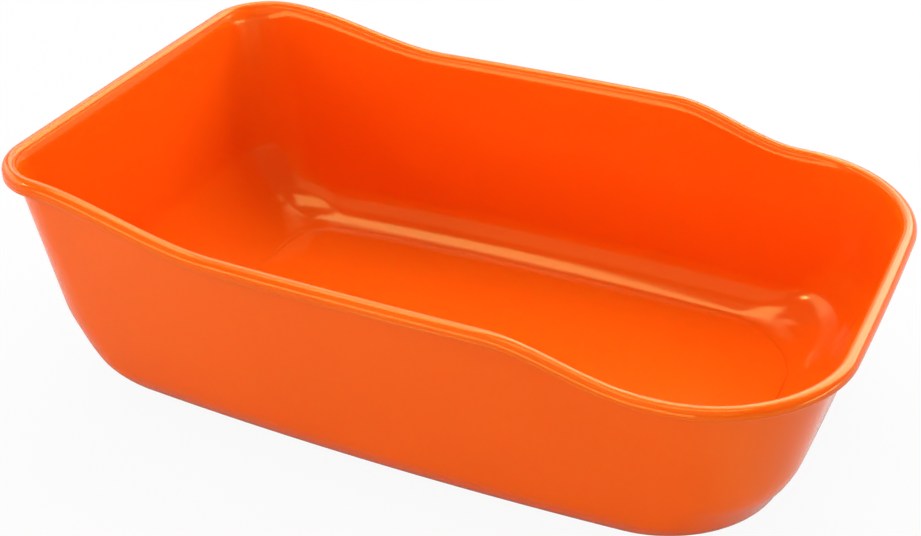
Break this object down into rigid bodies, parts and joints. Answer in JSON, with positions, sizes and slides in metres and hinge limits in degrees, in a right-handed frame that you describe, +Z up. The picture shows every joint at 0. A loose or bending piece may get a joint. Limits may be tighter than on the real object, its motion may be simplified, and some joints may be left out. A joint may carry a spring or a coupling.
{
  "type": "litter tray",
  "caption": "Open litter tray moulded in one glossy orange skin, with a rolled hollow rim that steps down to a low entry end and rounded lower walls.",
  "frame": {"origin": "on the ground plane under the tray, at the bottom centre of its bounding box", "axes": "+X towards the low entry end, +Y towards the left side seen from the back end, +Z up"},
  "size_m": [0.42, 0.2644, 0.1285],
  "materials": {
    "tray_plastic": "glossy orange moulded plastic, smooth inside and out"
  },
  "bodies": {
    "root": {"tray": "tray_plastic"}
  },
  "joints": []
}
